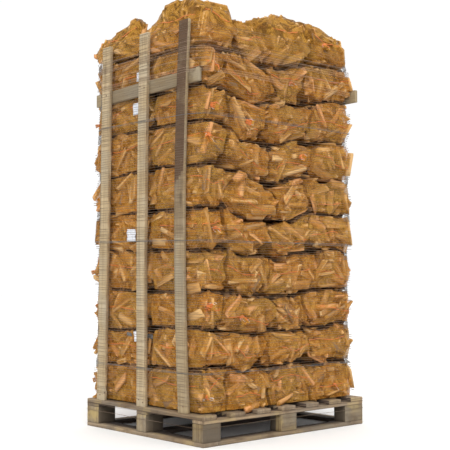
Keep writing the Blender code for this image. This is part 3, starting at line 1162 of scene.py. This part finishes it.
def tube_along(path, radius, sides, pile, tone, closed=False):
    """A round cord through points, with its map running along it."""
    path = np.asarray(path, float)
    ahead = np.roll(path, -1, axis=0) - path
    if not closed:
        ahead[-1] = ahead[-2]
    heading = ahead / (np.linalg.norm(ahead, axis=1)[:, None] + 1e-9)
    up = np.tile(np.array([0.0, 0.0, 1.0]), (len(path), 1))
    up[np.abs(heading[:, 2]) > 0.9] = (1.0, 0.0, 0.0)
    side = np.cross(heading, up)
    side /= np.linalg.norm(side, axis=1)[:, None] + 1e-9
    rise = np.cross(side, heading)
    turns = np.arange(sides) * (math.tau / sides)
    ring = (np.cos(turns)[None, :, None] * side[:, None, :]
            + np.sin(turns)[None, :, None] * rise[:, None, :])
    places = (path[:, None, :] + ring * radius).reshape(-1, 3)
    count = len(path)
    stops = count if closed else count - 1
    along = np.repeat(np.arange(stops), sides)
    around = np.tile(np.arange(sides), stops)
    first = along * sides + around
    follow = along * sides + (around + 1) % sides
    wrap = count * sides
    quads = np.stack([first, (first + sides) % wrap, (follow + sides) % wrap, follow], axis=1)
    run = np.concatenate([[0.0], np.cumsum(np.linalg.norm(np.diff(path, axis=0), axis=1))])
    ends = np.minimum(along + 1, len(run) - 1)
    flat = np.stack([np.stack([run[stop], (around + turn) / sides], axis=1)
                     for stop, turn in ((along, 0), (ends, 0), (ends, 1), (along, 1))], axis=1)
    pile.add(places, quads, flat, tone)
    if not closed:
        for ring_start, order in ((0, 1), ((count - 1) * sides, -1)):
            cap = [tuple(range(ring_start, ring_start + sides))[::order]]
            pile.add(places[:0], np.array(cap) - len(places), np.zeros((1, sides, 2)), tone)


def face_sheet(places, unit, axis, sign):
    """The skin's points on one side of the cube, as a square sheet of points."""
    chosen = np.where(unit[:, axis] == sign)[0]
    first, second = [other for other in range(3) if other != axis]
    order = np.lexsort((unit[chosen, first], unit[chosen, second]))
    count = NET_CUTS + 2
    return places[chosen[order]].reshape(count, count, 3)


def on_sheet(sheet, across, up):
    """A place on a sheet of points, for shares from 0 to 1 each way."""
    last = len(sheet) - 1
    x, y = clamp(across) * last, clamp(up) * last
    column, row = min(int(x), last - 1), min(int(y), last - 1)
    x -= column
    y -= row
    lower = sheet[row, column] * (1 - x) + sheet[row, column + 1] * x
    upper = sheet[row + 1, column] * (1 - x) + sheet[row + 1, column + 1] * x
    return lower * (1 - y) + upper * y


def lay_drawstring(sheet, outward, draw, pile):
    """The cord through a bag's mouth: it runs level, in and out of the net."""
    height = draw.uniform(0.30, 0.70)
    slope = draw.uniform(-0.34, 0.30)
    wave = draw.uniform(0.02, 0.06)
    phase = draw.uniform(0.0, math.tau)
    start, stop = draw.uniform(0.0, 0.25), draw.uniform(0.72, 1.0)
    path = []
    for k in range(CORD_POINTS):
        share = start + (stop - start) * k / (CORD_POINTS - 1)
        up = height + slope * (share - 0.5) + wave * math.sin(phase + share * 7.0)
        up += draw.uniform(-CORD_STRAY, CORD_STRAY)
        lift = CORD_LIFT[0] + CORD_LIFT[1] * math.sin(phase * 2.0 + share * 19.0)
        path.append(on_sheet(sheet, share, up) + outward * lift)
    path = np.array(path)
    smooth = path.copy()
    smooth[1:-1] = (path[:-2] + path[1:-1] * 2 + path[2:]) / 4
    tube_along(smooth, CORD_RADIUS, 5, pile, draw.random())


def neck_shape():
    """A bag's gathered mouth: a pleated cone that flares to a frayed rim."""
    piece = start_from(bpy.ops.mesh.primitive_cylinder_add, vertices=20, radius=NECK_RADIUS,
                       depth=0.004, end_fill_type="NGON")
    set_mode("EDIT")
    bpy.ops.mesh.select_all(action="DESELECT")
    set_mode("OBJECT")
    for face in piece.data.polygons:
        face.select = face.normal.z > 0.9
    set_mode("EDIT")
    for rise, grow in NECK_STEPS:
        bpy.ops.mesh.extrude_region_move(TRANSFORM_OT_translate={"value": (0, 0, rise)})
        bpy.ops.transform.resize(value=(grow, grow, 1.0))
    set_mode("OBJECT")
    places, faces = take_mesh(piece)
    places = places.astype(float)
    turns = np.arctan2(places[:, 1], places[:, 0])
    rise = fade(places[:, 2], NECK_TALL)
    pleat = 1.0 + 0.30 * rise * np.sign(np.sin(turns * 10.0 + 0.1))
    places[:, 0] *= pleat
    places[:, 1] *= pleat * (1.0 - 0.55 * rise)
    places[:, 2] += 0.006 * rise * np.sin(turns * 3.0)
    return places, faces


def loose_end(place, axes, draw, long, radius, pile):
    """A loose end of cord or thread that springs from a tie and droops."""
    turn = draw.uniform(0.0, math.tau)
    reach = long * draw.uniform(0.5, 1.0)
    path = []
    for k in range(8):
        share = k / 7
        out = math.sin(share * 2.2) * reach * 0.55
        path.append((math.cos(turn) * out + draw.uniform(-1.0, 1.0) * 0.0015,
                     0.004 + share * 0.010 * math.sin(turn),
                     0.006 + reach * share * math.sin(turn * 0.5 + 0.4)))
    tube_along(np.array(path) @ axes + place, radius, 4, pile, draw.random())


def put_neck(shape, sheet, across, outward, draw, piles, scale=1.0):
    """Folds a gathered mouth down against the bag, with its tie round it."""
    places, faces = shape
    place = on_sheet(sheet, across, draw.uniform(0.35, 0.65)) - outward * NECK_SUNK
    lean = draw.uniform(-1.2, 1.2)
    hang = Vector((math.sin(lean) * 0.9, 0.0, -math.cos(lean) * 0.5))
    outward = Vector(outward)
    heading = (hang + outward * 0.45).normalized()
    side = heading.cross(outward).normalized()
    front = side.cross(heading)
    axes = np.array([side, front, heading]) * draw.uniform(0.9, 1.3) * scale
    flat = places[faces][:, :, [0, 2]]
    piles["net"].add(places @ axes + place, faces, flat, draw.random())
    turns = np.linspace(0.0, math.tau, 13)[:-1]
    for rise, size in TIES:
        ring = np.stack([np.cos(turns) * size, np.sin(turns) * size,
                         np.full(12, rise)], axis=1) @ axes + place
        tube_along(ring, TIE_RADIUS, 5, piles["cord"], draw.random(), closed=True)
    for kind, (count, long, radius) in LOOSE_ENDS.items():
        for _ in range(count):
            loose_end(place, axes, draw, long, radius, piles[kind])


def row_name(kind, row, layer):
    return kind + "_" + row + "_" + str(layer + 1).zfill(2)


def build_load(shapes, grid, core, neck, finishes):
    """Every row of bags: its sticks, its net skins, its necks and drawstrings."""
    unit, faces, _, facing = grid
    outline = []
    cords, fibres = Pile(), Pile()
    for layer, row in product(range(LAYERS), ROWS):
        node = row_name("bags", row, layer)
        draw = random.Random(SEED * 1000 + layer * 2 + (row == "back"))
        sticks, nets = Pile(), Pile()
        piles = {"net": nets, "cord": cords, "fibre": fibres}
        for index, bag in enumerate(row_bags(node, row, layer)):
            outward = np.array([0.0, bag.out, 0.0])
            tree = build_sticks(lay_sticks(bag, draw, shapes), sticks)
            fill_core(bag, core, sticks)
            places = draw_net(bag, tree, grid)
            flat = net_map(unit, bag.half, faces, facing, draw.random())
            nets.add(places, faces, flat, draw.random())
            outline.append(places[::3])
            sheet = face_sheet(places, unit, 1, bag.out)
            lay_drawstring(sheet, outward, draw, cords)
            near_corner = row == "front" and index == 0 and layer in CORNER_NECKS
            if near_corner or draw.random() < NECK_SHARE:
                across = draw.uniform(0.10, 0.20) if near_corner else draw.uniform(0.2, 0.8)
                put_neck(neck, sheet, across, outward, draw, piles)
            if row == "back" and index == 0 and layer in CORNER_TIPS:
                put_neck(neck, sheet, draw.uniform(0.02, 0.10), outward, draw, piles, TIP_SCALE)
            if bag.end and draw.random() < END_CORD_SHARE:
                lay_drawstring(face_sheet(places, unit, 0, bag.end),
                               np.array([bag.end, 0.0, 0.0]), draw, cords)
        sticks.make(row_name("sticks", row, layer), finishes["stick"], "kindling_stick",
                    nodes=(node,))
        nets.make(row_name("net", row, layer), finishes["net"], "netted_kindling", NET_CREASE,
                  (node,))
    cords.make("drawstrings", finishes["cord"], "drawstring", 60.0)
    fibres.make("loose_fibres", finishes["tag"], "wrap_net", 60.0)
    return np.concatenate(outline)


def crumpled_sheet(y, z, wide, tall, points, draw, pile):
    """A small crumpled sheet that lies on the left end's nets."""
    places, faces = take_mesh(start_from(bpy.ops.mesh.primitive_grid_add, x_subdivisions=8,
                                         y_subdivisions=8, size=1.0))
    lean = draw.uniform(-0.15, 0.15)
    across, up = (places[:, :2].astype(float) * (wide, tall)).T
    spots_y = y + across * math.cos(lean) - up * math.sin(lean)
    spots_z = z + across * math.sin(lean) + up * math.cos(lean)
    near = points[(np.abs(points[:, 1] - y) < wide) & (np.abs(points[:, 2] - z) < tall)]
    out = near[:, 0].min() - SHEET_CLEAR
    seed = Vector((y * 30.0, z * 30.0, 0.0))
    creases = np.array([noise.noise(Vector((a * CREASE_TURNS, b * CREASE_TURNS, 0.0)) + seed)
                        for a, b in zip(across, up)])
    put = np.column_stack([out - CREASE_DEPTH * (creases + 0.6), spots_y, spots_z])
    pile.add(put, faces[:, ::-1], np.column_stack([across, up])[faces[:, ::-1]], 0.5)


def hang_labels(points, finishes):
    draw = random.Random(SEED + 3)
    for name, spots, finish, slot in (("blank_labels", TAGS, "tag", "tag"),
                                      ("film_scraps", SCRAPS, "band", "wrap_net")):
        pile = Pile()
        for spot in spots:
            crumpled_sheet(*spot, points, draw, pile)
        piece = pile.make(name, finishes[finish], slot, 60.0)
        piece.modifiers.new("paper", "SOLIDIFY").thickness = SHEET_THICK
        apply_modifiers(piece)


def hull_of(points):
    """The convex outline of points on the plane, in order."""
    points = points[np.lexsort((points[:, 1], points[:, 0]))]

    def half(run):
        chain = []
        for point in run:
            while len(chain) > 1:
                first, second = chain[-2], chain[-1]
                turn = ((second[0] - first[0]) * (point[1] - first[1])
                        - (second[1] - first[1]) * (point[0] - first[0]))
                if turn > 0:
                    break
                chain.pop()
            chain.append(point)
        return chain[:-1]

    return np.array(half(points) + half(points[::-1]))


def wrap_loop(height, points, step):
    """The pallet net's outline at a height, with its long runs cut into steps."""
    low, high = CAD_BOX
    corners = np.array([(x, y) for x in (low[0], high[0]) for y in (low[1], high[1])])
    if height <= DECK_TOP + 0.004:
        loop = hull_of(corners * PALLET_ROUND)
    else:
        near = points[np.abs(points[:, 2] - height) < WRAP_REACH][:, :2]
        flare = 1.0 - min(1.0, (height - DECK_TOP) / FLARE_TALL)
        if flare > 0.0:
            near = np.vstack([near, corners * (FLARE_SPREAD[0] + FLARE_SPREAD[1] * flare)])
        loop = hull_of(near)
    lengths = np.linalg.norm(np.roll(loop, -1, axis=0) - loop, axis=1)
    kept = lengths > WRAP_JOIN
    loop, lengths = loop[kept], lengths[kept]
    path = []
    for start, stop, length in zip(loop, np.roll(loop, -1, axis=0), lengths):
        count = max(1, round(length / step))
        path.extend(start + (stop - start) * k / count for k in range(count))
    return np.array(path)


def pushed_out(loop, gap):
    return loop + loop / np.linalg.norm(loop, axis=1)[:, None] * gap


def lay_thread(loop, height, pile, tone, sides=3, closed=True):
    """A thread along an outline, at one height or at a height for each point."""
    path = np.column_stack([loop, np.broadcast_to(height, len(loop))])
    tube_along(path, WRAP_RADIUS, sides, pile, tone, closed)


def bridge_notches(points, draw, threads):
    """Threads crowded together where the net bridges a seam's notch at a corner."""
    stake_edge = -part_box("stake_left_front")[0][1]
    for layer, (side, row) in product(range(LAYERS - 1), NOTCH_CORNERS):
        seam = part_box(row_name("bags", "front", layer))[1][2]
        height = slump(np.array([[side * NOTCH_AT[0], row * NOTCH_AT[1], seam]]))[0, 2]
        height -= NOTCH_DROP
        loop = wrap_loop(height, points, NOTCH_STEP)
        chosen = (loop[:, 0] * side > NOTCH_FROM[0]) & (loop[:, 1] * row > stake_edge)
        order = np.roll(np.arange(len(loop)), -int(np.argmin(chosen)))
        run = loop[order][chosen[order]]
        for k in range(NOTCH_THREADS):
            rise = (k / (NOTCH_THREADS - 1) - 0.5) * NOTCH_TALL + draw.uniform(-0.001, 0.001)
            path = run[run[:, 0] * side > draw.uniform(*NOTCH_FROM)]
            lay_thread(path, height + rise, threads, NOTCH_TONE, closed=False)


def wrap_load(points, finishes):
    """Threads of the pallet net, level round the load, and its gathered bands."""
    draw = random.Random(SEED + 5)
    points = points[(np.abs(points[:, 1]) < 0.5) & (points[:, 2] < WRAP_HIGH + 0.01)]
    threads, bands = Pile(), Pile()
    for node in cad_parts:
        if node.startswith("stake_"):
            places, _ = mesh_arrays(bpy.data.objects[node + "_wood"])
            points = np.vstack([points, places])
    height = WRAP_LOW
    while height < WRAP_HIGH:
        loop = pushed_out(wrap_loop(height, points, WRAP_STEP), WRAP_CLEAR)
        wave = draw.uniform(0.0, math.tau)
        turns = np.arctan2(loop[:, 1], loop[:, 0])
        drift = 0.0022 * np.sin(turns * 3.0 + wave) + 0.0012 * np.sin(turns * 11.0 + wave * 2)
        kept = LOAD_THREADS if height > DECK_TOP + 0.05 else PALLET_THREADS
        if draw.random() < kept:
            lay_thread(loop, height + drift, threads, draw.random())
        if VEIL[0] < height < VEIL[1] and draw.random() < VEIL_THREADS:
            lay_thread(loop, height + drift + WRAP_PITCH / 2, threads, VEIL_TONE)
        height += WRAP_PITCH * draw.uniform(0.94, 1.06)
    for (level, tilt), offset in product(BANDS, (0.0, BAND_PITCH)):
        loop = pushed_out(wrap_loop(level, points, WRAP_STEP), BAND_CLEAR)
        rise = level + offset + tilt * loop[:, 1] / 0.5
        rise = rise + 0.002 * np.sin(np.arctan2(loop[:, 1], loop[:, 0]) * 9.0 + offset * 900)
        lay_thread(loop, rise, bands, 0.5, 5)
    bridge_notches(points, draw, threads)
    threads.make("wrap_threads", finishes["wrap"], "wrap_net")
    bands.make("wrap_bands", finishes["band"], "wrap_net", 60.0)


def set_stage():
    floor = start_from(bpy.ops.mesh.primitive_plane_add, size=FLOOR_SIZE)
    floor.name = "studio_floor"
    plain = Finish("studio_floor", 0.9)
    plain.shader.inputs["Base Color"].default_value = FLOOR_COLOUR
    floor.data.materials.append(plain.material)
    world = bpy.data.worlds.new("studio_sky")
    world.use_nodes = True
    back = world.node_tree.nodes["Background"]
    back.inputs["Color"].default_value = SKY_COLOUR
    back.inputs["Strength"].default_value = SKY_STRENGTH
    bpy.context.scene.world = world
    lamp = bpy.data.lights.new("soft_key", "SUN")
    lamp.energy = SUN_STRENGTH
    lamp.angle = math.radians(SUN_SPREAD)
    lamp.color = SUN_COLOUR
    key = add_object("soft_key", lamp)
    key.rotation_euler = (math.radians(SUN_TURN[0]), 0.0, math.radians(SUN_TURN[1]))


def set_camera():
    lens = bpy.data.cameras.new("view")
    lens.lens = CAMERA_LENS
    lens.sensor_width = SENSOR
    camera = add_object("view", lens)
    camera.location = CAMERA_PLACE
    camera.rotation_euler = (math.radians(90.0 + CAMERA_TILT), 0.0,
                             math.radians(CAMERA_TURN))
    bpy.context.scene.camera = camera


def build():
    draw = random.Random(SEED)
    set_camera()
    set_stage()
    bpy.context.scene.view_settings.view_transform = "Standard"
    finishes = {
        "stick": stick_wood(),
        "net": golden_net(),
        "cord": cord_finish(),
        "wrap": wrap_finish(),
        "band": band_finish(),
        "tag": tag_finish(),
    }
    dress_pallet(draw)
    dress_uprights(draw)
    drive_nails(draw)
    points = build_load(stick_shapes(), cube_grid(NET_CUTS), cube_grid(CORE_CUTS),
                        neck_shape(), finishes)
    hang_labels(points, finishes)
    wrap_load(points, finishes)


build()
